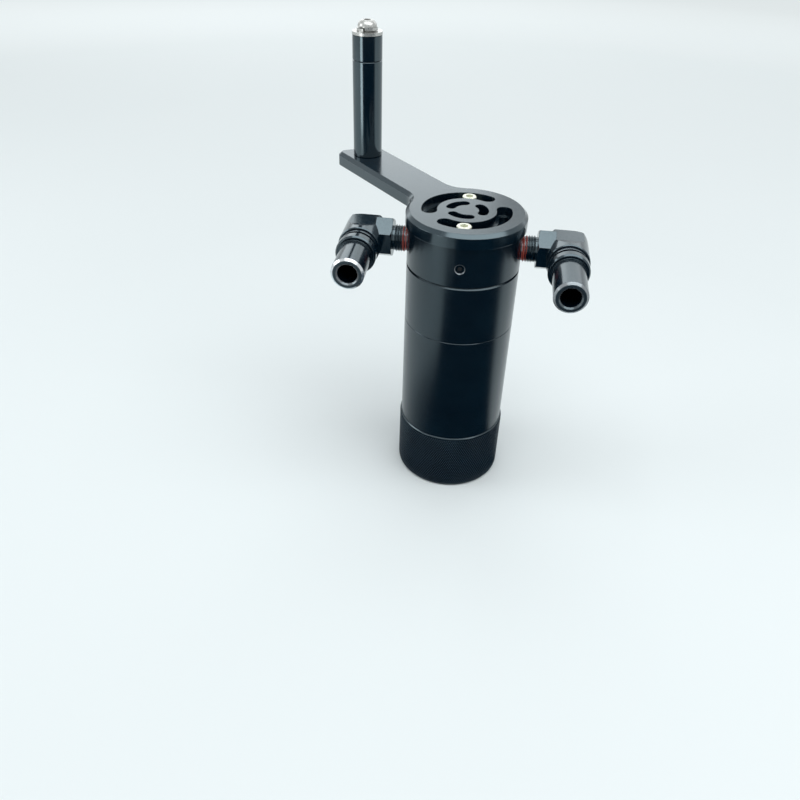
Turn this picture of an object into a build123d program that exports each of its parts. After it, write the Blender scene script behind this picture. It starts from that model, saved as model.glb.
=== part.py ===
from build123d import *
from math import cos, radians, sin, sqrt, tan
import os

# Oil catch can: a screwed billet can with a knurled drain cup, two elbows with hose stems, and a slotted
# bracket that carries a post. All sizes are in millimetres.
# The origin is the centre of the cup's underside. +Z runs up the can, +X points to the outlet elbow, and
# the hose stems point to -Y.

# Can body
body_diameter = 63.5
body_wall = 3.75
lower_body_length = 69.0
upper_body_length = 34.6
upper_body_ledge = 3.0
body_seam_chamfer = 0.25

# Screwed seams: a plain spigot stands for each thread, with a sealing ring in its groove
spigot_length = 10.0
spigot_wall = 4.2
spigot_lead = 0.6
thread_clearance = 0.3
seal_section = 1.8
seal_offset = 1.0
seal_clearance = 0.15

# Drain cup
cup_diameter = 64.8
cup_height = 39.0
cup_floor = 4.0
cup_floor_fillet = 3.0
cup_foot_chamfer = 1.0
cup_rim_chamfer = 0.6
cup_seat_gap = 0.05

# Head and its drilled passages
head_height = 23.1
head_seam_chamfer = 0.8
port_rise = 11.6
port_thread_diameter = 13.2
port_thread_depth = 14.0
port_clearance = 0.1
passage_diameter = 10.6
outlet_drop_offset = 16.0

# Set screw in the front of the head
set_screw_diameter = 4.83
set_screw_length = 5.0
set_screw_sink = 0.9
set_screw_rise = 11.4
set_screw_key = 2.4
set_screw_key_depth = 2.2
set_screw_hole_depth = 7.5
set_screw_mouth_chamfer = 0.5
set_screw_mouth_angle = 45.0
tap_clearance = 0.05

# Inner parts
tube_diameter = 14.0
tube_wall = 1.5
tube_length = 76.0
tube_socket_depth = 5.0
tube_socket_clearance = 0.05
tube_window_diameter = 6.0
tube_window_rise = 6.0
tube_window_count = 4
screen_thickness = 1.5
screen_edge_gap = 0.3
screen_hole_diameter = 3.2
screen_inner_ring = 12.5
screen_inner_count = 8
screen_outer_ring = 19.0
screen_outer_count = 12

# Elbows: pipe thread, hexagon, and a round body with a flat above and below
elbow_thread_inside = 10.0
elbow_thread_outside = 8.0
hex_flats = 19.6
hex_width = 8.9
hex_overlap = 0.5
hex_turn = 30.0
hex_face_ratio = 1.03
hex_chamfer_angle = 30.0
elbow_flat_width = 15.5
elbow_flat_height = 17.0
elbow_flat_front = 3.8
elbow_flat_runout_angle = 18.0
elbow_back = 9.3
elbow_front = 16.0
elbow_back_fillet = 11.0
elbow_rim_chamfer = 0.4
elbow_trim = 1.0

# Hose stems
stem_diameter = 17.6
inlet_stem_reach = 48.5
outlet_stem_reach = 52.5
stem_tip_chamfer = 1.3
stem_root_gap = 0.5
stem_rear_bead_diameter = 21.0
stem_rear_bead_width = 2.2
stem_front_bead_diameter = 22.0
stem_front_bead_width = 4.8
stem_bevel_rise = 0.65
stem_bevel_run = 1.0
stem_groove_diameter = 18.0
stem_groove_width = 2.9
stem_ring_diameter = 19.2
stem_ring_gap = 0.6
stem_ring_width = 1.0
stem_socket_diameter = 14.0
stem_socket_depth = 6.0
stem_socket_clearance = 0.05
stem_bore_chamfer = 0.8

# Bracket plate
plate_thickness = 7.94
plate_gap = 0.05
plate_chamfer = 1.9
ring_diameter = 66.2
arm_angle = 131.7
arm_width = 28.4
arm_reach = 115.4
arm_end_skew = 12.0
arm_root_fillet = 14.0
arm_corner_fillet = 4.5
slot_ring_radius = 20.4
slot_side_gap = 0.3
slot_pocket_depth = 5.1
swing_forward = 30.0
swing_back = 101.0
window_ring_radius = 9.2
window_width = 5.4
window_sweep = 62.0
window_count = 3

# Socket screws that clamp the bracket
plate_screw_diameter = 4.83
plate_screw_head_diameter = 7.92
plate_screw_head_height = 4.83
plate_screw_length = 12.0
plate_screw_key = 3.97
plate_screw_key_depth = 2.6
plate_screw_edge_fillet = 0.5
plate_screw_angle = 90.0

# Post on the arm
post_inset = 13.05
post_diameter = 17.46
post_length = 55.3
post_edge_chamfer = 0.4
spacer_length = 13.6
post_thread_depth = 18.0

# Fasteners on the post
bolt_diameter = 6.35
bolt_length = 30.0
bolt_head_diameter = 11.1
bolt_head_height = 3.35
bolt_head_flat_diameter = 5.6
bolt_key = 3.97
bolt_key_depth = 2.2
bolt_hole_clearance = 0.3
flat_washer_diameter = 17.8
flat_washer_thickness = 1.6
lock_washer_diameter = 12.2
lock_washer_thickness = 1.57
lock_washer_rise = 0.8
lock_washer_gap_angle = 12.0
lock_washer_split_angle = 262.0
arm_screw_head_diameter = 12.6
arm_screw_length = 22.0
arm_screw_cone_angle = 90.0
arm_screw_sink = 0.3

# Levels up the can
cup_top = cup_height
lower_body_foot = cup_top + cup_seat_gap
lower_body_top = lower_body_foot + lower_body_length
upper_body_top = lower_body_top + upper_body_length
screen_ledge = lower_body_top + upper_body_ledge
head_top = upper_body_top + head_height
plate_foot = head_top + plate_gap
plate_top = plate_foot + plate_thickness
slot_ledge = plate_top - slot_pocket_depth
port_level = upper_body_top + port_rise
post_top = plate_top + post_length
spacer_top = post_top + spacer_length
washer_top = spacer_top + flat_washer_thickness
bolt_seat = washer_top + lock_washer_thickness + lock_washer_rise

# Radii that pieces share
body_radius = body_diameter / 2
bore_radius = body_radius - body_wall
spigot_radius = bore_radius - thread_clearance
spigot_bore_radius = spigot_radius - spigot_wall
seal_outer_radius = bore_radius - seal_clearance
seal_ring_radius = seal_outer_radius - seal_section / 2
groove_floor_radius = seal_outer_radius - seal_section - seal_clearance
groove_width = seal_section + 2 * seal_clearance
passage_radius = passage_diameter / 2
tube_radius = tube_diameter / 2
tube_hole_radius = tube_radius + screen_edge_gap
screen_radius = bore_radius - screen_edge_gap
bolt_hole_radius = bolt_diameter / 2 + bolt_hole_clearance

# Distances along the elbow, out from the can's axis
hex_start = body_radius + elbow_thread_outside
hex_end = hex_start + hex_width + hex_overlap
stem_axis_x = hex_start + hex_width + elbow_flat_width / 2
elbow_body_radius = sqrt(elbow_flat_width**2 + elbow_flat_height**2) / 2

post_reach = arm_reach - post_inset
post_x = post_reach * cos(radians(arm_angle))
post_y = post_reach * sin(radians(arm_angle))


def arm_plane(level):
    """Level plane whose X axis runs out along the arm."""
    along_arm = (cos(radians(arm_angle)), sin(radians(arm_angle)), 0)
    return Plane(origin=(0, 0, level), x_dir=along_arm, z_dir=(0, 0, 1))


def post_plane(level):
    """Level plane centred on the post."""
    return Plane(origin=(post_x, post_y, level))


def round_edges(part, radius):
    """Circular edges of one radius."""
    circles = part.edges().filter_by(GeomType.CIRCLE)
    return circles.filter_by(lambda edge: abs(edge.radius - radius) < 0.001)


def spigot_outline(shoulder, direction):
    """Outline of a screwed spigot from its shoulder to its bore, direction 1 upward and -1 downward."""
    groove_near = shoulder + direction * seal_offset
    groove_far = groove_near + direction * groove_width
    end = shoulder + direction * spigot_length
    return [
        (spigot_radius, shoulder),
        (spigot_radius, groove_near),
        (groove_floor_radius, groove_near),
        (groove_floor_radius, groove_far),
        (spigot_radius, groove_far),
        (spigot_radius, end - direction * spigot_lead),
        (spigot_radius - spigot_lead, end),
        (spigot_bore_radius, end),
    ]


def seal_ring(shoulder, direction):
    """Sealing ring in the middle of a spigot's groove."""
    middle = shoulder + direction * (seal_offset + groove_width / 2)
    with BuildPart() as ring:
        with BuildSketch(Plane.XZ):
            with Locations((seal_ring_radius, middle)):
                Circle(seal_section / 2)
        revolve(axis=Axis.Z)
    return ring


def body_tube(foot, length):
    """Plain length of the can's outer tube."""
    with BuildPart() as tube:
        with BuildSketch(Plane.XY.offset(foot)):
            Circle(body_radius)
            Circle(bore_radius, mode=Mode.SUBTRACT)
        extrude(amount=length)
    return tube


def screen_disc(foot):
    """Perforated disc with a hole for the drop tube."""
    with BuildPart() as disc:
        with BuildSketch(Plane.XY.offset(foot)):
            Circle(screen_radius)
            Circle(tube_hole_radius, mode=Mode.SUBTRACT)
            with PolarLocations(screen_inner_ring, screen_inner_count):
                Circle(screen_hole_diameter / 2, mode=Mode.SUBTRACT)
            with PolarLocations(screen_outer_ring, screen_outer_count):
                Circle(screen_hole_diameter / 2, mode=Mode.SUBTRACT)
        extrude(amount=screen_thickness)
    return disc


def port_axis_plane(distance, side):
    """Plane square to the ports, facing away from the can, its X axis along Y."""
    return Plane(origin=(side * distance, 0, port_level), x_dir=(0, 1, 0), z_dir=(side, 0, 0))


def stem_plane(distance, side):
    """Plane square to a hose stem, facing forward, at a distance in front of the port line."""
    return Plane(origin=(side * stem_axis_x, -distance, port_level), x_dir=(1, 0, 0), z_dir=(0, -1, 0))


def stem_axis(side):
    """Axis of a hose stem, pointing forward."""
    return Axis((side * stem_axis_x, 0, port_level), (0, -1, 0))


def turned_hex(side):
    """Hexagon with a corner up, its corners turned down at the thread's end."""
    face_radius = hex_flats / 2 * hex_face_ratio
    corner_radius = hex_flats / sqrt(3)
    run = (corner_radius - face_radius) * tan(radians(hex_chamfer_angle))
    outline = [
        (hex_start, 0),
        (hex_start, face_radius),
        (hex_start + run, corner_radius),
        (hex_end, corner_radius),
        (hex_end, 0),
    ]
    with BuildPart() as hexagon:
        with BuildSketch(port_axis_plane(hex_start, side)):
            RegularPolygon(hex_flats / 2, 6, major_radius=False, rotation=hex_turn)
        extrude(amount=hex_end - hex_start)
        with BuildSketch(Plane.XZ):
            with BuildLine():
                Polyline([(side * along, port_level + up) for along, up in outline], close=True)
            make_face()
        revolve(axis=Axis((0, 0, port_level), (side, 0, 0)), mode=Mode.INTERSECT)
    return hexagon.part


def elbow_body(side):
    """Round elbow body, rounded at its outer back corner, with flats above and below that run out ahead."""
    flat_level = elbow_flat_height / 2
    trim_radius = elbow_body_radius + elbow_trim
    trim_back = elbow_back + elbow_trim
    runout = (trim_radius - flat_level) / tan(radians(elbow_flat_runout_angle))
    flat_cut = [
        (trim_back, flat_level),
        (-elbow_flat_front, flat_level),
        (-elbow_flat_front - runout, trim_radius),
        (trim_back, trim_radius),
    ]
    with BuildPart() as round_body:
        with BuildSketch(stem_plane(-trim_back, side)):
            Circle(elbow_body_radius)
        extrude(amount=trim_back + elbow_front)
        chamfer(round_edges(round_body, elbow_body_radius).sort_by(Axis.Y)[0], length=elbow_rim_chamfer)
        with BuildSketch(Plane.XY.offset(port_level)) as plan:
            with Locations((side * stem_axis_x, (elbow_back - elbow_front - elbow_trim) / 2)):
                Rectangle(2 * trim_radius, elbow_back + elbow_front + elbow_trim)
            back_corners = plan.vertices().group_by(Axis.Y)[-1].sort_by(Axis.X)
            fillet(back_corners[-1 if side > 0 else 0], radius=elbow_back_fillet)
        extrude(amount=trim_radius, both=True, mode=Mode.INTERSECT)
        for up in (-1, 1):
            with BuildSketch(Plane.YZ.offset(side * stem_axis_x)):
                with BuildLine():
                    Polyline([(along, port_level + up * rise) for along, rise in flat_cut], close=True)
                make_face()
            extrude(amount=trim_radius, both=True, mode=Mode.SUBTRACT)
    return round_body.part


def elbow(side):
    """Threaded elbow with its hexagon and round body, drilled from both ends and bored for the stem."""
    thread_end = body_radius - elbow_thread_inside
    thread_radius = port_thread_diameter / 2
    with BuildPart() as body:
        add(elbow_body(side))
        add(turned_hex(side))
        with BuildSketch(port_axis_plane(thread_end, side)):
            Circle(thread_radius)
        extrude(amount=hex_start - thread_end)
        with BuildSketch(port_axis_plane(thread_end, side)):
            Circle(passage_radius)
        extrude(amount=stem_axis_x - thread_end, mode=Mode.SUBTRACT)
        with BuildSketch(stem_plane(-passage_radius, side)):
            Circle(passage_radius)
        extrude(amount=passage_radius + elbow_front, mode=Mode.SUBTRACT)
        with BuildSketch(stem_plane(elbow_front, side)):
            Circle(stem_socket_diameter / 2)
        extrude(amount=-stem_socket_depth, mode=Mode.SUBTRACT)
    return body


def stem(side, reach):
    """Turned hose stem: socket spigot, two beads, a fine ring and the plain sealing length."""
    rear_bead = elbow_front + stem_root_gap
    groove = rear_bead + stem_rear_bead_width
    front_bead = groove + stem_groove_width
    ring_groove = front_bead + stem_front_bead_width
    ring = ring_groove + stem_ring_gap
    plain = ring + stem_ring_width
    spigot_end = elbow_front - stem_socket_depth + stem_socket_clearance
    spigot = stem_socket_diameter / 2 - stem_socket_clearance
    outline = [
        (passage_radius, spigot_end),
        (spigot, spigot_end),
        (spigot, elbow_front),
        (stem_groove_diameter / 2, elbow_front),
        (stem_groove_diameter / 2, rear_bead),
        (stem_rear_bead_diameter / 2, rear_bead),
        (stem_rear_bead_diameter / 2, groove),
        (stem_groove_diameter / 2, groove),
        (stem_groove_diameter / 2, front_bead),
        (stem_front_bead_diameter / 2, front_bead),
        (stem_front_bead_diameter / 2, ring_groove - stem_bevel_run),
        (stem_front_bead_diameter / 2 - stem_bevel_rise, ring_groove),
        (stem_groove_diameter / 2, ring_groove),
        (stem_groove_diameter / 2, ring),
        (stem_ring_diameter / 2, ring),
        (stem_ring_diameter / 2, plain),
        (stem_diameter / 2, plain),
        (stem_diameter / 2, reach - stem_tip_chamfer),
        (stem_diameter / 2 - stem_tip_chamfer, reach),
        (passage_radius + stem_bore_chamfer, reach),
        (passage_radius, reach - stem_bore_chamfer),
    ]
    with BuildPart() as nipple:
        with BuildSketch(Plane.XY.offset(port_level)):
            with BuildLine():
                Polyline([(side * stem_axis_x + out, -ahead) for out, ahead in outline], close=True)
            make_face()
        revolve(axis=stem_axis(side))
    return nipple


# Drain cup
with BuildPart() as drain_cup:
    with BuildSketch(Plane.XZ):
        with BuildLine():
            Polyline(
                [(0, 0), (cup_diameter / 2, 0), (cup_diameter / 2, cup_top)]
                + spigot_outline(cup_top, 1)
                + [(spigot_bore_radius, cup_floor), (0, cup_floor)],
                close=True,
            )
        make_face()
    revolve(axis=Axis.Z)
    cup_rims = round_edges(drain_cup, cup_diameter / 2).sort_by(Axis.Z)
    chamfer(cup_rims[0], length=cup_foot_chamfer)
    chamfer(cup_rims[-1], length=cup_rim_chamfer)
    cup_floor_edge = round_edges(drain_cup, spigot_bore_radius).sort_by(Axis.Z)[0]
    fillet(cup_floor_edge, radius=cup_floor_fillet)

cup_o_ring = seal_ring(cup_top, 1)

# Lower body: plain tube that takes the cup below and the upper body above
lower_body = body_tube(lower_body_foot, lower_body_length)
with lower_body:
    chamfer(round_edges(lower_body, body_radius), length=body_seam_chamfer)

body_o_ring = seal_ring(lower_body_top, -1)

# Upper body: plain tube over a screwed spigot, whose ledge carries the lower screen
with BuildPart() as upper_body:
    with BuildSketch(Plane.XZ):
        with BuildLine():
            Polyline(
                spigot_outline(lower_body_top, -1)
                + [
                    (spigot_bore_radius, screen_ledge),
                    (bore_radius, screen_ledge),
                    (bore_radius, upper_body_top),
                    (body_radius, upper_body_top),
                    (body_radius, lower_body_top),
                ],
                close=True,
            )
        make_face()
    revolve(axis=Axis.Z)
    upper_body_rims = round_edges(upper_body, body_radius).sort_by(Axis.Z)
    chamfer(upper_body_rims[0], length=body_seam_chamfer)
    chamfer(upper_body_rims[-1], length=head_seam_chamfer)

head_o_ring = seal_ring(upper_body_top, -1)

# Mesh pad between its two screens, under the head's spigot
upper_screen_foot = upper_body_top - spigot_length - screen_thickness
mesh_foot = screen_ledge + screen_thickness
lower_screen = screen_disc(screen_ledge)
upper_screen = screen_disc(upper_screen_foot)
with BuildPart() as mesh_pad:
    with BuildSketch(Plane.XY.offset(mesh_foot)):
        Circle(screen_radius)
        Circle(tube_hole_radius, mode=Mode.SUBTRACT)
    extrude(amount=upper_screen_foot - mesh_foot)

# Drop tube from the inlet passage down into the lower body, with windows near its end
tube_top = upper_body_top + tube_socket_depth
tube_foot = tube_top - tube_length
with BuildPart() as drop_tube:
    with BuildSketch(Plane.XY.offset(tube_foot)):
        Circle(tube_radius)
        Circle(tube_radius - tube_wall, mode=Mode.SUBTRACT)
    extrude(amount=tube_length)
    window_level = tube_foot + tube_window_rise
    for turn in range(tube_window_count // 2):
        window_turn = 360 / tube_window_count * turn
        facing = Plane(origin=(0, 0, window_level), z_dir=Vector(1, 0, 0).rotate(Axis.Z, window_turn))
        with BuildSketch(facing):
            Circle(tube_window_diameter / 2)
        extrude(amount=tube_diameter, both=True, mode=Mode.SUBTRACT)

# Head: solid billet with a screwed spigot, drilled passages and tapped holes
with BuildPart() as head:
    with BuildSketch(Plane.XZ):
        with BuildLine():
            Polyline(
                spigot_outline(upper_body_top, -1)
                + [
                    (spigot_bore_radius, upper_body_top),
                    (0, upper_body_top),
                    (0, head_top),
                    (body_radius, head_top),
                    (body_radius, upper_body_top),
                ],
                close=True,
            )
        make_face()
    revolve(axis=Axis.Z)
    chamfer(round_edges(head, body_radius).sort_by(Axis.Z)[0], length=head_seam_chamfer)
    for side in (-1, 1):
        with BuildSketch(port_axis_plane(body_radius, side)):
            Circle(port_thread_diameter / 2 + port_clearance)
        extrude(amount=-port_thread_depth, mode=Mode.SUBTRACT)
    with BuildSketch(port_axis_plane(body_radius, -1)):
        Circle(passage_radius)
    extrude(amount=-body_radius, mode=Mode.SUBTRACT)
    with BuildSketch(port_axis_plane(body_radius, 1)):
        Circle(passage_radius)
    extrude(amount=outlet_drop_offset - body_radius, mode=Mode.SUBTRACT)
    with BuildSketch(Plane.XY.offset(upper_body_top)):
        Circle(passage_radius)
        with Locations((outlet_drop_offset, 0)):
            Circle(passage_radius)
    extrude(amount=port_rise, mode=Mode.SUBTRACT)
    with BuildSketch(Plane.XY.offset(upper_body_top)):
        Circle(tube_radius + tube_socket_clearance)
    extrude(amount=tube_socket_depth, mode=Mode.SUBTRACT)
    with BuildSketch(Plane.XY.offset(head_top)):
        with PolarLocations(slot_ring_radius, 2, start_angle=plate_screw_angle):
            Circle(plate_screw_diameter / 2 + tap_clearance)
    extrude(amount=-plate_screw_length, mode=Mode.SUBTRACT)
    set_screw_level = upper_body_top + set_screw_rise
    set_screw_front = Plane(origin=(0, -body_radius, set_screw_level), x_dir=(1, 0, 0), z_dir=(0, -1, 0))
    set_screw_hole_radius = set_screw_diameter / 2 + tap_clearance
    with BuildSketch(set_screw_front):
        Circle(set_screw_hole_radius)
    extrude(amount=-set_screw_hole_depth, mode=Mode.SUBTRACT)
    with BuildSketch(set_screw_front):
        Circle(set_screw_hole_radius + set_screw_mouth_chamfer)
    extrude(amount=-set_screw_mouth_chamfer, taper=set_screw_mouth_angle, mode=Mode.SUBTRACT)

# Grub screw in the head's front hole
with BuildPart() as set_screw:
    with BuildSketch(set_screw_front.offset(-set_screw_sink)):
        Circle(set_screw_diameter / 2)
    extrude(amount=-set_screw_length)
    with BuildSketch(set_screw_front.offset(-set_screw_sink)):
        RegularPolygon(set_screw_key / 2, 6, major_radius=False)
    extrude(amount=-set_screw_key_depth, mode=Mode.SUBTRACT)

# Bracket: slotted ring and arm cut from one plate
slot_pocket_width = plate_screw_head_diameter + 2 * slot_side_gap
slot_width = plate_screw_diameter + 2 * slot_side_gap
slot_start = plate_screw_angle - swing_forward
slot_sweep = swing_forward + swing_back
arm_end_shift = arm_width / 2 * tan(radians(arm_end_skew))
with BuildPart() as bracket:
    with BuildSketch(arm_plane(plate_foot)) as plate_outline:
        Circle(ring_diameter / 2)
        Polygon(
            (0, -arm_width / 2),
            (arm_reach - arm_end_shift, -arm_width / 2),
            (arm_reach + arm_end_shift, arm_width / 2),
            (0, arm_width / 2),
            align=None,
        )
        outline_corners = plate_outline.vertices().sort_by(Axis.X)
        fillet(outline_corners[-2:], radius=arm_corner_fillet)
        arm_roots = plate_outline.vertices().sort_by(Axis.X)
        fillet(arm_roots[0:2], radius=arm_root_fillet)
    extrude(amount=plate_thickness)
    chamfer(bracket.faces().sort_by(Axis.Z)[-1].outer_wire().edges(), length=plate_chamfer)
    for width, depth in ((slot_pocket_width, slot_pocket_depth), (slot_width, plate_thickness)):
        with BuildSketch(Plane.XY.offset(plate_top)):
            for half in (0, 180):
                start = slot_start + half
                slot_path = CenterArc((0, 0), slot_ring_radius, start, slot_sweep, mode=Mode.PRIVATE)
                SlotArc(slot_path, width)
        extrude(amount=-depth, mode=Mode.SUBTRACT)
    with BuildSketch(Plane.XY.offset(plate_top)):
        for window in range(window_count):
            window_start = arm_angle + 360 / window_count * window - window_sweep / 2
            window_path = CenterArc((0, 0), window_ring_radius, window_start, window_sweep, mode=Mode.PRIVATE)
            SlotArc(window_path, window_width)
    extrude(amount=-plate_thickness, mode=Mode.SUBTRACT)
    with BuildSketch(post_plane(plate_foot)):
        Circle(bolt_hole_radius)
    extrude(amount=plate_thickness, mode=Mode.SUBTRACT)
    arm_sink_radius = arm_screw_head_diameter / 2 + arm_screw_sink
    with BuildSketch(post_plane(plate_foot)):
        Circle(arm_sink_radius)
    extrude(amount=arm_sink_radius - bolt_hole_radius, taper=arm_screw_cone_angle / 2, mode=Mode.SUBTRACT)

# Socket screws in the two slots
with BuildPart() as plate_screws:
    screw_seat = Plane.XY.offset(slot_ledge + plate_gap)
    with BuildSketch(screw_seat):
        with PolarLocations(slot_ring_radius, 2, start_angle=plate_screw_angle):
            Circle(plate_screw_head_diameter / 2)
    extrude(amount=plate_screw_head_height)
    screw_head_rims = round_edges(plate_screws, plate_screw_head_diameter / 2).group_by(Axis.Z)[-1]
    fillet(screw_head_rims, radius=plate_screw_edge_fillet)
    with BuildSketch(screw_seat):
        with PolarLocations(slot_ring_radius, 2, start_angle=plate_screw_angle):
            Circle(plate_screw_diameter / 2)
    extrude(amount=-plate_screw_length)
    with BuildSketch(screw_seat.offset(plate_screw_head_height)):
        with PolarLocations(slot_ring_radius, 2, start_angle=plate_screw_angle):
            RegularPolygon(plate_screw_key / 2, 6, major_radius=False)
    extrude(amount=-plate_screw_key_depth, mode=Mode.SUBTRACT)

# Post: tapped at both ends
with BuildPart() as post:
    with BuildSketch(post_plane(plate_top)):
        Circle(post_diameter / 2)
    extrude(amount=post_length)
    chamfer(round_edges(post, post_diameter / 2), length=post_edge_chamfer)
    with BuildSketch(post_plane(plate_top)):
        Circle(bolt_diameter / 2 + tap_clearance)
    extrude(amount=post_thread_depth, mode=Mode.SUBTRACT)
    with BuildSketch(post_plane(post_top)):
        Circle(bolt_diameter / 2 + tap_clearance)
    extrude(amount=-post_thread_depth, mode=Mode.SUBTRACT)

with BuildPart() as post_spacer:
    with BuildSketch(post_plane(post_top)):
        Circle(post_diameter / 2)
        Circle(bolt_hole_radius, mode=Mode.SUBTRACT)
    extrude(amount=spacer_length)
    chamfer(round_edges(post_spacer, post_diameter / 2), length=post_edge_chamfer)

with BuildPart() as flat_washer:
    with BuildSketch(post_plane(spacer_top)):
        Circle(flat_washer_diameter / 2)
        Circle(bolt_hole_radius, mode=Mode.SUBTRACT)
    extrude(amount=flat_washer_thickness)

# Split lock washer: a square wire coiled through almost one left-hand turn
lock_washer_width = lock_washer_diameter / 2 - bolt_hole_radius
lock_washer_coil_radius = lock_washer_diameter / 2 - lock_washer_width / 2
lock_washer_share = 1 - lock_washer_gap_angle / 360
lock_washer_foot = washer_top + lock_washer_thickness / 2
with BuildPart() as lock_washer:
    with BuildLine() as coil:
        Helix(
            lock_washer_rise / lock_washer_share,
            lock_washer_rise,
            lock_washer_coil_radius,
            center=(post_x, post_y, lock_washer_foot),
            lefthand=True,
        )
    with BuildSketch(Plane(origin=coil.line @ 0, x_dir=(1, 0, 0), z_dir=coil.line % 0)):
        Rectangle(lock_washer_width, lock_washer_thickness)
    sweep(is_frenet=True)
split_turn = lock_washer_split_angle - lock_washer_gap_angle / 2
lock_washer.part = lock_washer.part.rotate(Axis((post_x, post_y, 0), (0, 0, 1)), split_turn)

# Button-head bolt down through the washers and spacer into the post
with BuildPart() as post_bolt:
    with BuildSketch(Plane.XZ.offset(-post_y)):
        with BuildLine():
            dome_foot = (post_x + bolt_head_diameter / 2, bolt_seat)
            dome_top = (post_x + bolt_head_flat_diameter / 2, bolt_seat + bolt_head_height)
            axis_top = (post_x, bolt_seat + bolt_head_height)
            axis_foot = (post_x, bolt_seat - bolt_length)
            shank_foot = (post_x + bolt_diameter / 2, bolt_seat - bolt_length)
            shank_top = (post_x + bolt_diameter / 2, bolt_seat)
            TangentArc(dome_foot, dome_top, tangent=(0, 1))
            Polyline(dome_top, axis_top, axis_foot, shank_foot, shank_top, dome_foot)
        make_face()
    revolve(axis=Axis((post_x, post_y, 0), (0, 0, 1)))
    with BuildSketch(post_plane(bolt_seat + bolt_head_height)):
        RegularPolygon(bolt_key / 2, 6, major_radius=False)
    extrude(amount=-bolt_key_depth, mode=Mode.SUBTRACT)

# Countersunk screw up through the arm into the post
arm_screw_cone = (arm_screw_head_diameter - bolt_diameter) / 2 / tan(radians(arm_screw_cone_angle / 2))
with BuildPart() as arm_screw:
    with BuildSketch(post_plane(plate_foot)):
        Circle(arm_screw_head_diameter / 2)
    extrude(amount=arm_screw_cone, taper=arm_screw_cone_angle / 2)
    with BuildSketch(post_plane(plate_foot)):
        Circle(bolt_diameter / 2)
    extrude(amount=arm_screw_length)
    with BuildSketch(post_plane(plate_foot)):
        RegularPolygon(bolt_key / 2, 6, major_radius=False)
    extrude(amount=bolt_key_depth, mode=Mode.SUBTRACT)

pieces = {
    "drain_cup": drain_cup,
    "cup_o_ring": cup_o_ring,
    "lower_body": lower_body,
    "body_o_ring": body_o_ring,
    "upper_body": upper_body,
    "head_o_ring": head_o_ring,
    "lower_screen": lower_screen,
    "mesh_pad": mesh_pad,
    "upper_screen": upper_screen,
    "drop_tube": drop_tube,
    "head": head,
    "set_screw": set_screw,
    "elbow_left": elbow(-1),
    "stem_left": stem(-1, inlet_stem_reach),
    "elbow_right": elbow(1),
    "stem_right": stem(1, outlet_stem_reach),
    "bracket": bracket,
    "plate_screws": plate_screws,
    "post": post,
    "post_spacer": post_spacer,
    "flat_washer": flat_washer,
    "lock_washer": lock_washer,
    "post_bolt": post_bolt,
    "arm_screw": arm_screw,
}

os.makedirs("parts", exist_ok=True)
for name, piece in pieces.items():
    piece.part.label = name
    export_step(piece.part, f"parts/{name}.step")
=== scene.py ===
import math

import bmesh
import bpy
from mathutils import Matrix, Vector


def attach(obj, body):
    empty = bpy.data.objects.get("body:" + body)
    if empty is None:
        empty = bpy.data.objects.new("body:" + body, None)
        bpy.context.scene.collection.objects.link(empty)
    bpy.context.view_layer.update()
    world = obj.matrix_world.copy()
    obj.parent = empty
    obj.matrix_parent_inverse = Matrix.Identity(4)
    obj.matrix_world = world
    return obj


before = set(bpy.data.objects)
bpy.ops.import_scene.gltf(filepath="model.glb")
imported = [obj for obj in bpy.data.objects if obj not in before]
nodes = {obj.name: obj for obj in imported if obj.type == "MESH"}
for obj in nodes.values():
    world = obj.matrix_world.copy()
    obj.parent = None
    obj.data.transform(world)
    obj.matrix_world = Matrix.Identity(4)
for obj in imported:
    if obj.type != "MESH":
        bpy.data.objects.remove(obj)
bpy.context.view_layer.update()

scene = bpy.context.scene

# Sizes that repeat the part's own, in metres
port_level = 0.15425
stem_axis = 0.0564
stem_chamfer_starts = {"stem_left": -0.0472, "stem_right": -0.0512}
stem_chamfer = 0.0013
stem_chamfer_root = 0.0076
stem_mouth = 0.0061
set_screw_level = 0.15405
set_screw_mouth = 0.0029
head_front = -0.031
cup_top = 0.039

# Knurled sleeve on the drain cup
knurl_foot = 0.001
knurl_top = 0.0384
knurl_inner = 0.0322
knurl_valley = 0.03242
knurl_crest = 0.03272
knurl_count = 153
knurl_rows = 15
knurl_flat = 0.3

# Screw thread of the cup's spigot, and taper pipe threads of the elbows
spigot_radius = 0.0277
spigot_crest = 0.02795
spigot_pitch = 0.002
spigot_thread_rise = 0.0036
spigot_thread_length = 0.0062
spigot_steps = 96
pipe_root = 0.0066
pipe_crest = 0.00715
pipe_pitch = 0.00141
pipe_start = 0.0319
pipe_end = 0.0397
pipe_overlap = 0.0006
pipe_taper = 0.03
pipe_steps = 40
thread_sink = 0.1
thread_half_foot = 0.44
thread_half_crest = 0.07

# Gloss and tool marks of the black pieces
black_tints = ((0.001, 0.004, 0.009), (0.0015, 0.008, 0.015))
gloss_tint = (0.74, 0.93, 1.0, 1)
knurl_gloss_tint = (0.55, 0.85, 1.0, 1)
tube_lines = (0.02, 0.02, 4.0)
post_lines = (0.05, 0.05, 4.0)
stem_lines = (0.05, 4.0, 0.05)
tube_gloss = {"ior": 1.65, "rough": (0.2, 0.27), "lines": tube_lines}
tube_ring_gloss = 0.35
quarter_turn = 0.25
bevel_samples = 4

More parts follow.
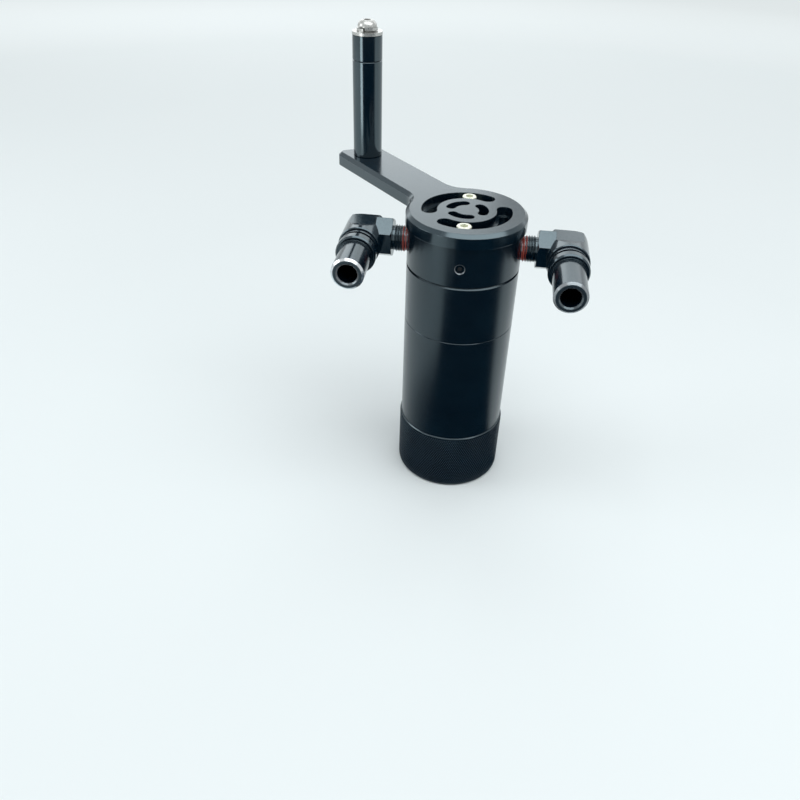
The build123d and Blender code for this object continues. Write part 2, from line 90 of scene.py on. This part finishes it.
# Wear and sealant: shares of 1, colours, and ranges in metres over which they come or go
chamfer_wear = {"stem_left": 1.0, "stem_right": 0.35}
chamfer_wear_least = 0.75
bore_wear = 0.22
screw_hole_wear = 0.25
end_rough = 0.5
wear_fade = 0.0001
bare_chamfer = (0.8, 0.82, 0.84)
bare_hole = (0.7, 0.72, 0.74)
# Knurl crest tips painted paler: worn tips, and a painted glint on every crest
knurl_tip_depth = 0.00008
knurl_tip_glint_and_wear = (0.06, 0.085, 0.11)
sealant_dark = (0.24, 0.028, 0.016)
sealant_light = (0.5, 0.085, 0.055)
sealant_wander = 0.0016
sealant_starts = (0.0314, 0.0317)
sealant_smear_ends = (0.0331, 0.0334)
sealant_ends = (0.0348, 0.0352)
sealant_crest_fade = 0.0002

# Stage
floor_half = 4.0
floor_cells = 8
floor_shift = 1.0
floor_level = -0.0001
floor_colours = ((0.8, 0.85, 0.85), (0.84, 0.88, 0.88))
floor_near_lift = {"high": 0.28, "near": 0.4, "far": 1.9}
floor_far_lift = {"high": 0.3, "near": 1.3, "far": 2.6}
matt_rough = 0.8
backdrop_colour = (0.74, 0.77, 0.78, 1)
backdrop_strength = 1.0
fill_colour = (0.95, 0.98, 1.0, 1)
fill_strength = 0.35
lamp_tint = (0.95, 0.98, 1.0)

# Dark card seen only in reflections, a painted dark reflection: reaches from the can's axis in
# metres, turns in degrees from straight ahead
card_colours = ((0.001, 0.016, 0.034), (0.003, 0.034, 0.06))
card_level = 0.0004
card_inner = 0.034
card_outer = 2.2
card_rings = 60
card_first_turn = -130.0
card_turn_step = 2.0
card_steps = 120
card_sharpens = (0.1, 0.2)
card_left_before = (95.0, 6.0)
card_left_after = (0.0, 3.0)
card_left_reach = (0.42, 0.58)
card_left_turns = (-27.0, -36.0)
card_notch_starts = (0.34, 0.37)
card_notch_ends = (0.41, 0.45)
card_notch_turn = 15.0
card_right_reach = (0.35, 0.55)
card_right_turns = (90.0, 74.0)
card_right_before = 12.0
card_right_after = 6.0
card_fades = (1.6, 2.2)

# Camera, at the photograph's viewing place
camera_place = Vector((0.0143027, -0.375412, 0.3296793))
camera_yaw = -0.12623
camera_pitch = 0.652667
camera_roll = 0.029252
camera_lens = 32.765
camera_sensor = 36.0
camera_clip_start = 0.01
camera_clip_end = 50.0

# Places of the two colours and of the mixed colour among a Mix node's sockets
mix_first, mix_second, mix_result = 6, 7, 2


def set_surface(tree, socket):
    """Sends a shader to the material's output."""
    output = next(node for node in tree.nodes if node.type == "OUTPUT_MATERIAL")
    tree.links.new(socket, output.inputs["Surface"])


def new_material(name):
    """Material with one Principled shader. Returns the material, its tree and the shader."""
    material = bpy.data.materials.new(name)
    material.use_nodes = True
    tree = material.node_tree
    tree.nodes.clear()
    tree.nodes.new("ShaderNodeOutputMaterial")
    shader = tree.nodes.new("ShaderNodeBsdfPrincipled")
    set_surface(tree, shader.outputs["BSDF"])
    return material, tree, shader


def set_inputs(node, **values):
    """Sets sockets by name, with underscores for the spaces."""
    for name, value in values.items():
        node.inputs[name.replace("_", " ")].default_value = value


def place_coords(tree, stretch=(1, 1, 1)):
    """Coordinates of the part's own frame, stretched."""
    coords = tree.nodes.new("ShaderNodeTexCoord")
    mapping = tree.nodes.new("ShaderNodeMapping")
    set_inputs(mapping, Scale=stretch)
    tree.links.new(coords.outputs["Object"], mapping.inputs["Vector"])
    return mapping.outputs["Vector"]


def frame_axes(tree):
    """The part's own X, Y and Z as three sockets."""
    split = tree.nodes.new("ShaderNodeSeparateXYZ")
    tree.links.new(place_coords(tree), split.inputs["Vector"])
    return split.outputs["X"], split.outputs["Y"], split.outputs["Z"]


def noise(tree, scale, detail=3.0, stretch=(1, 1, 1)):
    """Noise value over the part's own frame."""
    texture = tree.nodes.new("ShaderNodeTexNoise")
    set_inputs(texture, Scale=scale, Detail=detail)
    tree.links.new(place_coords(tree, stretch), texture.inputs["Vector"])
    return texture.outputs["Fac"]


def calculate(tree, operation, *values):
    """One arithmetic node over sockets and numbers."""
    node = tree.nodes.new("ShaderNodeMath")
    node.operation = operation
    for socket, value in zip(node.inputs, values):
        if isinstance(value, (int, float)):
            socket.default_value = value
        else:
            tree.links.new(value, socket)
    return node.outputs["Value"]


def distance(tree, first, second):
    """Length of the line whose parts along two axes are given."""
    square = calculate(tree, "MULTIPLY", second, second)
    return calculate(tree, "SQRT", calculate(tree, "MULTIPLY_ADD", first, first, square))


def spread(tree, value, low, high, near=0.3, far=0.7):
    """Maps a value from near..far to low..high."""
    mapped = tree.nodes.new("ShaderNodeMapRange")
    set_inputs(mapped, From_Min=near, From_Max=far, To_Min=low, To_Max=high)
    tree.links.new(value, mapped.inputs["Value"])
    return mapped.outputs["Result"]


def mix_colour(tree, share, first, second):
    """Mixes two colours, each a tuple or a socket, by a share from 0 to 1."""
    mixed = tree.nodes.new("ShaderNodeMix")
    mixed.data_type = "RGBA"
    tree.links.new(share, mixed.inputs["Factor"])
    for place, colour in ((mix_first, first), (mix_second, second)):
        socket = mixed.inputs[place]
        if isinstance(colour, tuple):
            socket.default_value = (*colour, 1)
        else:
            tree.links.new(colour, socket)
    return mixed.outputs[mix_result]


def coat(tree, shader, share, colour):
    """Lays a colour over the shader's own one, by a share from 0 to 1."""
    base = shader.inputs["Base Color"]
    tree.links.new(mix_colour(tree, share, base.links[0].from_socket, colour), base)


def bump(tree, shader, height, strength, depth):
    """Bumps the shader's normal by a height value."""
    node = tree.nodes.new("ShaderNodeBump")
    set_inputs(node, Strength=strength, Distance=depth)
    tree.links.new(height, node.inputs["Height"])
    tree.links.new(node.outputs["Normal"], shader.inputs["Normal"])


def anodised(name, ior, rough, lines=(1, 1, 1)):
    """Black anodised aluminium with fine tool marks drawn out along one axis."""
    material, tree, shader = new_material(name)
    cloud = spread(tree, noise(tree, scale=45.0, detail=4.0), 0, 1)
    tree.links.new(mix_colour(tree, cloud, *black_tints), shader.inputs["Base Color"])
    marks = noise(tree, scale=900.0, stretch=lines)
    tree.links.new(spread(tree, marks, *rough), shader.inputs["Roughness"])
    bump(tree, shader, marks, strength=0.03, depth=0.00001)
    set_inputs(shader, IOR=ior, Specular_Tint=gloss_tint)
    return material, tree, shader


def rounded_edges(tree, shader, radius):
    """Lets the gloss run round the edges, as on a tumbled part."""
    soft = tree.nodes.new("ShaderNodeBevel")
    soft.samples = bevel_samples
    set_inputs(soft, Radius=radius)
    marks = shader.inputs["Normal"].links[0].from_node
    tree.links.new(soft.outputs["Normal"], marks.inputs["Normal"])


def turned(tree, shader, amount):
    """Draws the gloss out along the turning axis, as fine tool rings do."""
    tangent = tree.nodes.new("ShaderNodeTangent")
    tangent.direction_type = "RADIAL"
    tangent.axis = "Z"
    tree.links.new(tangent.outputs["Tangent"], shader.inputs["Tangent"])
    set_inputs(shader, Anisotropic=amount, Anisotropic_Rotation=quarter_turn)


def worn_tip(tree, shader, start, amount):
    """Bares the metal on a stem's end chamfer and its bore's mouth, and dulls the sawn end."""
    x, y, z = frame_axes(tree)
    aside = calculate(tree, "SUBTRACT", calculate(tree, "ABSOLUTE", x), stem_axis)
    away = distance(tree, aside, calculate(tree, "SUBTRACT", z, port_level))
    outer = spread(tree, away, 0, 1, near=stem_chamfer_root, far=stem_chamfer_root + wear_fade)
    mouth = spread(tree, away, bore_wear, 0, near=stem_mouth - wear_fade, far=stem_mouth)
    ahead = spread(tree, y, 1, 0, near=start - wear_fade, far=start)
    patchy = spread(tree, noise(tree, scale=700.0, detail=2.0), chamfer_wear_least * amount, amount)
    edges = calculate(tree, "MULTIPLY", calculate(tree, "MAXIMUM", outer, mouth), ahead)
    worn = calculate(tree, "MULTIPLY", edges, patchy)
    coat(tree, shader, worn, bare_chamfer)
    tree.links.new(worn, shader.inputs["Metallic"])
    end = start - stem_chamfer
    faced = spread(tree, y, end_rough, 0, near=end + wear_fade / 2, far=end + wear_fade)
    rough = shader.inputs["Roughness"]
    tree.links.new(calculate(tree, "MAXIMUM", rough.links[0].from_socket, faced), rough)


def plain_metal(name, dark, light, rough, grain=1500.0, metallic=1.0):
    """Bare or plated metal with small differences of tone and gloss."""
    material, tree, shader = new_material(name)
    cloud = noise(tree, grain)
    colour = mix_colour(tree, spread(tree, cloud, 0, 1), dark, light)
    tree.links.new(colour, shader.inputs["Base Color"])
    tree.links.new(spread(tree, cloud, *rough), shader.inputs["Roughness"])
    bump(tree, shader, cloud, strength=0.02, depth=0.00003)
    set_inputs(shader, Metallic=metallic)
    return material


# Can: turned tube, satin black
can_black, can_tree, can_shader = anodised("can_black", **tube_gloss)
turned(can_tree, can_shader, tube_ring_gloss)

# Head: the same, with the metal bare round the mouth of the set screw's hole
head_black, head_tree, head_shader = anodised("head_black", **tube_gloss)
turned(head_tree, head_shader, tube_ring_gloss)
head_x, head_y, head_z = frame_axes(head_tree)
head_rise = calculate(head_tree, "SUBTRACT", head_z, set_screw_level)
hole_edge = spread(
    head_tree, distance(head_tree, head_x, head_rise), screw_hole_wear, 0,
    near=set_screw_mouth - wear_fade, far=set_screw_mouth,
)
hole_side = spread(head_tree, head_y, 1, 0, near=head_front, far=head_front + wear_fade)
hole_bare = calculate(head_tree, "MULTIPLY", hole_edge, hole_side)
coat(head_tree, head_shader, hole_bare, bare_hole)
head_tree.links.new(hole_bare, head_shader.inputs["Metallic"])

# Bracket: tumbled plate, brighter gloss
plate_black, plate_tree, plate_shader = anodised("plate_black", ior=1.85, rough=(0.15, 0.21))
rounded_edges(plate_tree, plate_shader, radius=0.0004)

# Post: turned rod
post_black = anodised("post_black", ior=1.85, rough=(0.12, 0.17), lines=post_lines)[0]

# Stems: turned and polished, their ends worn to the metal
stem_blacks = {}
for name, start in stem_chamfer_starts.items():
    stem_black, stem_tree, stem_shader = anodised(
        name + "_black", ior=1.85, rough=(0.14, 0.2), lines=stem_lines
    )
    rounded_edges(stem_tree, stem_shader, radius=0.0003)
    worn_tip(stem_tree, stem_shader, start, chamfer_wear[name])
    stem_blacks[name] = stem_black

# Drain cup: knurl with tips painted paler, as worn tips and as painted glints, and a rim whose edge
# has worn smooth
knurl_black, knurl_tree, knurl_shader = anodised("knurl_black", ior=1.33, rough=(0.18, 0.26))
set_inputs(knurl_shader, Specular_Tint=knurl_gloss_tint)
knurl_x, knurl_y, _ = frame_axes(knurl_tree)
# Tips painted paler: worn crests, and painted glints in place of their highlights
knurl_tips = spread(
    knurl_tree, distance(knurl_tree, knurl_x, knurl_y), 0, 1,
    near=knurl_crest - knurl_tip_depth, far=knurl_crest,
)
coat(knurl_tree, knurl_shader, knurl_tips, knurl_tip_glint_and_wear)
cup_black, cup_tree, cup_shader = anodised(
    "cup_black", ior=1.8, rough=(0.16, 0.22), lines=tube_lines
)
rounded_edges(cup_tree, cup_shader, radius=0.0006)

# Elbows and their threads: glossy black, with red thread sealant on the turns next to the can
fitting_black, fitting_tree, fitting_shader = anodised(
    "fitting_black", ior=1.95, rough=(0.12, 0.2)
)
rounded_edges(fitting_tree, fitting_shader, radius=0.0003)
along, ahead, height = frame_axes(fitting_tree)
out = calculate(fitting_tree, "ABSOLUTE", along)
lift = calculate(fitting_tree, "SUBTRACT", height, port_level)
# Past the smear the sealant keeps to the crests, so the thread valleys stay black: sealant on the
# crests, and painted shade in the valleys
crests = spread(
    fitting_tree, distance(fitting_tree, ahead, lift), 0, 1,
    near=pipe_root, far=pipe_root + sealant_crest_fade,
)
ragged = noise(fitting_tree, scale=900.0, detail=2.0)
wander = calculate(fitting_tree, "MULTIPLY_ADD", ragged, sealant_wander, out)
reached = spread(fitting_tree, wander, 1, 0, *sealant_ends)
smeared = spread(fitting_tree, wander, 1, 0, *sealant_smear_ends)
outside = spread(fitting_tree, out, 0, 1, *sealant_starts)
coated = calculate(fitting_tree, "MAXIMUM", crests, smeared)
sealed = calculate(fitting_tree, "MULTIPLY", reached, coated)
sealed = calculate(fitting_tree, "MULTIPLY", sealed, outside)
sealant = mix_colour(fitting_tree, ragged, sealant_dark, sealant_light)
coat(fitting_tree, fitting_shader, sealed, sealant)

# Fasteners and inner pieces
zinc = plain_metal(
    "bright_zinc", dark=(0.47, 0.47, 0.45), light=(0.56, 0.56, 0.54),
    rough=(0.24, 0.36), metallic=0.8,
)
yellow_zinc = plain_metal(
    "yellow_zinc", dark=(0.7, 0.71, 0.58), light=(0.84, 0.86, 0.74),
    rough=(0.2, 0.34), metallic=0.4,
)
aluminium = plain_metal(
    "bare_aluminium", dark=(0.62, 0.63, 0.64), light=(0.76, 0.77, 0.78),
    rough=(0.28, 0.4), grain=500.0,
)
black_steel = plain_metal(
    "black_steel", dark=(0.06, 0.066, 0.072), light=(0.2, 0.21, 0.22),
    rough=(0.12, 0.25),
)
wire = plain_metal(
    "wire_mesh", dark=(0.25, 0.25, 0.25), light=(0.7, 0.7, 0.7),
    rough=(0.25, 0.5), grain=2600.0,
)

# O-rings
rubber, rubber_tree, rubber_shader = new_material("seal_rubber")
skin = noise(rubber_tree, scale=1800.0)
rubber_colour = mix_colour(
    rubber_tree, skin, first=(0.012, 0.012, 0.013), second=(0.03, 0.03, 0.031)
)
rubber_rough = spread(rubber_tree, skin, low=0.45, high=0.65)
rubber_tree.links.new(rubber_colour, rubber_shader.inputs["Base Color"])
rubber_tree.links.new(rubber_rough, rubber_shader.inputs["Roughness"])
bump(rubber_tree, rubber_shader, skin, strength=0.1, depth=0.00003)

finishes = {
    "drain_cup": cup_black,
    "cup_o_ring": rubber,
    "lower_body": can_black,
    "body_o_ring": rubber,
    "upper_body": can_black,
    "head_o_ring": rubber,
    "lower_screen": aluminium,
    "mesh_pad": wire,
    "upper_screen": aluminium,
    "drop_tube": aluminium,
    "head": head_black,
    "set_screw": black_steel,
    "elbow_left": fitting_black,
    "stem_left": stem_blacks["stem_left"],
    "elbow_right": fitting_black,
    "stem_right": stem_blacks["stem_right"],
    "bracket": plate_black,
    "plate_screws": yellow_zinc,
    "post": post_black,
    "post_spacer": post_black,
    "flat_washer": zinc,
    "lock_washer": zinc,
    "post_bolt": zinc,
    "arm_screw": zinc,
}
for name, material in finishes.items():
    node = nodes[name]
    node.data.materials.clear()
    node.data.materials.append(material)


def finish_mesh(name, form):
    """Turns a form into a mesh and lets the form go."""
    mesh = bpy.data.meshes.new(name)
    form.to_mesh(mesh)
    form.free()
    return mesh


def add_piece(name, mesh, material, body):
    """Links a new piece, gives it its finish and lets it ride on a body."""
    piece = bpy.data.objects.new(name, mesh)
    scene.collection.objects.link(piece)
    mesh.materials.append(material)
    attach(piece, body)


def round_point(radius, angle, height):
    """Point at a radius, an angle and a height from the Z axis."""
    return Vector((radius * math.cos(angle), radius * math.sin(angle), height))


def knurl_mesh(name):
    """Closed sleeve whose outside is rows of diamond pyramids with flat tips."""
    form = bmesh.new()
    steps = 2 * knurl_count
    levels = 2 * knurl_rows
    tip_offsets = ((-knurl_flat, 0), (0, -knurl_flat), (knurl_flat, 0), (0, knurl_flat))

    def add_point(radius, turn, level):
        height = knurl_foot + (knurl_top - knurl_foot) * level / levels
        return form.verts.new(round_point(radius, math.tau * turn / steps, height))

    corner = {}
    for level in range(levels + 1):
        for turn in range(level % 2, steps, 2):
            corner[turn, level] = add_point(knurl_valley, turn, level)
    for level in range(levels + 1):
        for turn in range(1 - level % 2, steps, 2):
            left = corner[(turn - 1) % steps, level]
            right = corner[(turn + 1) % steps, level]
            if level == 0:
                form.faces.new((left, right, corner[turn, level + 1]))
                continue
            if level == levels:
                form.faces.new((right, left, corner[turn, level - 1]))
                continue
            ring = (left, corner[turn, level - 1], right, corner[turn, level + 1])
            tip = [
                add_point(knurl_crest, turn + across, level + up) for across, up in tip_offsets
            ]
            form.faces.new(tip)
            for side in range(4):
                after = (side + 1) % 4
                form.faces.new((ring[side], ring[after], tip[after], tip[side]))
    inside = {}
    for level in (0, levels):
        for turn in range(0, steps, 2):
            inside[turn, level] = add_point(knurl_inner, turn, level)
    for turn in range(0, steps, 2):
        after = (turn + 2) % steps
        inner_foot, inner_foot_after = inside[turn, 0], inside[after, 0]
        inner_top, inner_top_after = inside[turn, levels], inside[after, levels]
        form.faces.new((inner_foot, inner_top, inner_top_after, inner_foot_after))
        form.faces.new((corner[after, 0], corner[turn, 0], inner_foot, inner_foot_after))
        form.faces.new((corner[turn, levels], corner[after, levels], inner_top_after, inner_top))
    bmesh.ops.recalc_face_normals(form, faces=form.faces)
    return finish_mesh(name, form)


def thread_mesh(name, place, root, crest, pitch, length, taper, steps):
    """Helical ridge from 0 to length along a line, that fades in and out over half a turn."""
    form = bmesh.new()
    sink = thread_sink * (crest - root)
    turns = length / pitch - 1
    rows = []
    for step in range(round(turns * steps) + 1):
        turn = step / steps
        fade = min(1.0, 2 * turn, 2 * (turns - turn))
        height = (crest - root + taper * turn * pitch) * fade
        middle = pitch / 2 + turn * pitch
        profile = (
            (-thread_half_foot, -sink),
            (-thread_half_crest, height),
            (thread_half_crest, height),
            (thread_half_foot, -sink),
        )
        row = []
        for along, rise in profile:
            spot = round_point(root + rise, math.tau * turn, middle + along * pitch)
            row.append(form.verts.new(place @ spot))
        rows.append(row)
    for row, after in zip(rows, rows[1:]):
        for side in range(4):
            beyond = (side + 1) % 4
            form.faces.new((row[side], row[beyond], after[beyond], after[side]))
    form.faces.new(rows[0])
    form.faces.new(rows[-1][::-1])
    bmesh.ops.recalc_face_normals(form, faces=form.faces)
    return finish_mesh(name, form)


# Knurled sleeve round the drain cup
add_piece("cup_knurl", knurl_mesh("cup_knurl"), knurl_black, "cup")

# Screw thread on the cup's spigot, seen when the cup is unscrewed
spigot_thread = thread_mesh(
    "cup_thread", Matrix.Translation((0, 0, cup_top + spigot_thread_rise)), spigot_radius,
    spigot_crest, spigot_pitch, spigot_thread_length, taper=0.0, steps=spigot_steps,
)
add_piece("cup_thread", spigot_thread, can_black, "cup")

# Taper pipe threads on the elbows
upward = Vector((0, 0, 1))
for side, name in ((-1, "elbow_thread_left"), (1, "elbow_thread_right")):
    outward = Vector((side, 0, 0))
    place = Matrix((upward.cross(outward), upward, outward)).transposed().to_4x4()
    place.translation = outward * (pipe_start - pipe_overlap) + upward * port_level
    ridge = thread_mesh(
        name, place, pipe_root, pipe_crest, pipe_pitch, pipe_end - pipe_start + pipe_overlap,
        taper=pipe_taper, steps=pipe_steps,
    )
    add_piece(name, ridge, fitting_black, "can")


def seen_share(tree):
    """1 for what the camera sees, straight or in gloss or through glass, and 0 for the light."""
    rays = tree.nodes.new("ShaderNodeLightPath").outputs
    seen = calculate(tree, "MAXIMUM", rays["Is Camera Ray"], rays["Is Glossy Ray"])
    return calculate(tree, "MAXIMUM", seen, rays["Is Transmission Ray"])


# Pale floor that takes the soft shadow
floor_form = bmesh.new()
bmesh.ops.create_grid(
    floor_form, x_segments=floor_cells, y_segments=floor_cells, size=floor_half
)
floor_mesh = finish_mesh("floor", floor_form)
floor = bpy.data.objects.new("floor", floor_mesh)
floor.location = (0, floor_shift, floor_level)
scene.collection.objects.link(floor)
floor_material, floor_tree, floor_shader = new_material("pale_floor")
floor_colour = mix_colour(floor_tree, noise(floor_tree, scale=1.2), *floor_colours)
floor_tree.links.new(floor_colour, floor_shader.inputs["Base Color"])
set_inputs(floor_shader, Roughness=matt_rough, Specular_IOR_Level=0.0)

# Far from the part the floor turns into a pale backdrop, for the camera and in reflections
floor_x, floor_y, _ = frame_axes(floor_tree)
floor_back = calculate(floor_tree, "ADD", floor_y, floor_shift)
floor_reach = distance(floor_tree, floor_x, floor_back)
floor_lift = calculate(
    floor_tree, "ADD",
    spread(floor_tree, floor_reach, 0, **floor_near_lift),
    spread(floor_tree, floor_reach, 0, **floor_far_lift),
)
floor_shown = calculate(floor_tree, "MULTIPLY", seen_share(floor_tree), floor_lift)
floor_glow = floor_tree.nodes.new("ShaderNodeEmission")
floor_tree.links.new(floor_colour, floor_glow.inputs["Color"])
floor_tree.links.new(floor_shown, floor_glow.inputs["Strength"])
floor_sum = floor_tree.nodes.new("ShaderNodeAddShader")
floor_tree.links.new(floor_shader.outputs["BSDF"], floor_sum.inputs[0])
floor_tree.links.new(floor_glow.outputs["Emission"], floor_sum.inputs[1])
set_surface(floor_tree, floor_sum.outputs["Shader"])
floor_mesh.materials.append(floor_material)

# World: a pale backdrop for the camera and in reflections, a plain fill for the rest
world = bpy.data.worlds.new("studio")
scene.world = world
world.use_nodes = True
sky = world.node_tree
sky.nodes.clear()
sky_out = sky.nodes.new("ShaderNodeOutputWorld")
backdrop = sky.nodes.new("ShaderNodeBackground")
set_inputs(backdrop, Color=backdrop_colour, Strength=backdrop_strength)
fill = sky.nodes.new("ShaderNodeBackground")
set_inputs(fill, Color=fill_colour, Strength=fill_strength)
choice = sky.nodes.new("ShaderNodeMixShader")
sky.links.new(seen_share(sky), choice.inputs["Fac"])
sky.links.new(fill.outputs["Background"], choice.inputs[1])
sky.links.new(backdrop.outputs["Background"], choice.inputs[2])
sky.links.new(choice.outputs["Shader"], sky_out.inputs["Surface"])


def softbox(name, place, aim, width, height, radiance, gloss_only=False):
    """Plain studio lamp that the camera doesn't see, or a white card seen only in gloss."""
    lamp = bpy.data.lights.new(name, "AREA")
    lamp.shape = "RECTANGLE"
    lamp.size = width
    lamp.size_y = height
    lamp.energy = radiance * math.pi * width * height
    lamp.color = lamp_tint
    box = bpy.data.objects.new(name, lamp)
    box.location = place
    box.rotation_mode = "QUATERNION"
    box.rotation_quaternion = (Vector(aim) - Vector(place)).to_track_quat("-Z", "Y")
    box.visible_camera = False
    box.visible_diffuse = not gloss_only
    scene.collection.objects.link(box)


softbox(
    "back_box", place=(-0.75, 1.6, 0.7), aim=(-0.1, 0, 0.15),
    width=1.6, height=0.5, radiance=1.35,
)
softbox(
    "back_high_box", place=(0.1, 1.6, 1.15), aim=(0, 0, 0.15),
    width=2.4, height=0.4, radiance=1.15,
)
softbox(
    "back_right_box", place=(0.78, 1.6, 0.72), aim=(0.1, 0, 0.15),
    width=1.2, height=0.46, radiance=0.7,
)
softbox(
    "top_box", place=(0.42, -0.33, 1.3), aim=(0.42, -0.33, 0),
    width=1.85, height=1.05, radiance=2.6,
)
softbox(
    "top_back_box", place=(-0.05, 0.62, 1.3), aim=(-0.05, 0.62, 0),
    width=0.75, height=0.35, radiance=1.3,
)
softbox(
    "left_box", place=(-1.15, -0.2, 0.6), aim=(0, 0, 0.15),
    width=0.6, height=0.6, radiance=3.0,
)
softbox(
    "strip_box", place=(-0.444, -0.442, 0.1), aim=(-0.068, 0.076, 0.2),
    width=0.2, height=0.24, radiance=4.2, gloss_only=True,
)


def ease(value, near, far):
    """Smooth step from 0 at near to 1 at far."""
    share = min(1.0, max(0.0, (value - near) / (far - near)))
    return share * share * (3 - 2 * share)


def between(share, near, far):
    """Value at a share of the way from near to far."""
    return near + (far - near) * share


def card_strength(turn, reach):
    """How dark the card is at a turn from straight ahead and a reach from the can's axis."""
    sharp = ease(reach, *card_sharpens)
    notch = ease(reach, *card_notch_starts) - ease(reach, *card_notch_ends)
    left_edge = between(ease(reach, *card_left_reach), *card_left_turns) + card_notch_turn * notch
    left_near = left_edge - between(sharp, *card_left_before)
    left_far = left_edge + between(sharp, *card_left_after)
    right_edge = between(ease(reach, *card_right_reach), *card_right_turns)
    past_right = ease(turn, right_edge - card_right_before, right_edge + card_right_after)
    return ease(turn, left_near, left_far) * (1 - past_right) * (1 - ease(reach, *card_fades))


# Dark card in front of the can, soft at its edges, seen only in gloss: a painted dark reflection in
# the can's front
card_form = bmesh.new()
card_layer = card_form.verts.layers.float.new("strength")
card_rows = []
for ring in range(card_rings + 1):
    reach = card_inner * (card_outer / card_inner) ** (ring / card_rings)
    row = []
    for step in range(card_steps + 1):
        turn = card_first_turn + card_turn_step * step
        swing = math.radians(turn)
        spot = (reach * math.sin(swing), -reach * math.cos(swing), card_level)
        vertex = card_form.verts.new(spot)
        vertex[card_layer] = card_strength(turn, reach)
        row.append(vertex)
    card_rows.append(row)
for row, after in zip(card_rows, card_rows[1:]):
    for step in range(card_steps):
        card_form.faces.new((row[step], after[step], after[step + 1], row[step + 1]))
card_mesh = finish_mesh("card", card_form)
card = bpy.data.objects.new("card", card_mesh)
scene.collection.objects.link(card)
card_material, card_tree, card_shader = new_material("dark_reflection_card")
card_colour = mix_colour(card_tree, noise(card_tree, scale=6.0, detail=2.0), *card_colours)
card_tree.links.new(card_colour, card_shader.inputs["Base Color"])
set_inputs(card_shader, Roughness=matt_rough, Specular_IOR_Level=0.0)
card_share = card_tree.nodes.new("ShaderNodeAttribute")
card_share.attribute_name = "strength"
card_clear = card_tree.nodes.new("ShaderNodeBsdfTransparent")
card_mix = card_tree.nodes.new("ShaderNodeMixShader")
card_tree.links.new(card_share.outputs["Fac"], card_mix.inputs["Fac"])
card_tree.links.new(card_clear.outputs["BSDF"], card_mix.inputs[1])
card_tree.links.new(card_shader.outputs["BSDF"], card_mix.inputs[2])
set_surface(card_tree, card_mix.outputs["Shader"])
card_mesh.materials.append(card_material)
# Hidden from the camera, from diffuse light and from shadows, so the card only paints the dark
# reflection
card.visible_camera = False
card.visible_diffuse = False
card.visible_shadow = False

# Camera
forward = Vector((
    math.sin(camera_yaw) * math.cos(camera_pitch),
    math.cos(camera_yaw) * math.cos(camera_pitch),
    -math.sin(camera_pitch),
))
level_right = Vector((math.cos(camera_yaw), -math.sin(camera_yaw), 0))
level_up = level_right.cross(forward)
camera_right = level_right * math.cos(camera_roll) + level_up * math.sin(camera_roll)
camera_up = level_up * math.cos(camera_roll) - level_right * math.sin(camera_roll)
lens = bpy.data.cameras.new("camera")
lens.sensor_width = camera_sensor
lens.lens = camera_lens
lens.clip_start = camera_clip_start
lens.clip_end = camera_clip_end
camera = bpy.data.objects.new("camera", lens)
camera_pose = Matrix((camera_right, camera_up, -forward)).transposed().to_4x4()
camera_pose.translation = camera_place
camera.matrix_world = camera_pose
scene.collection.objects.link(camera)
scene.camera = camera

scene.view_settings.view_transform = "Standard"
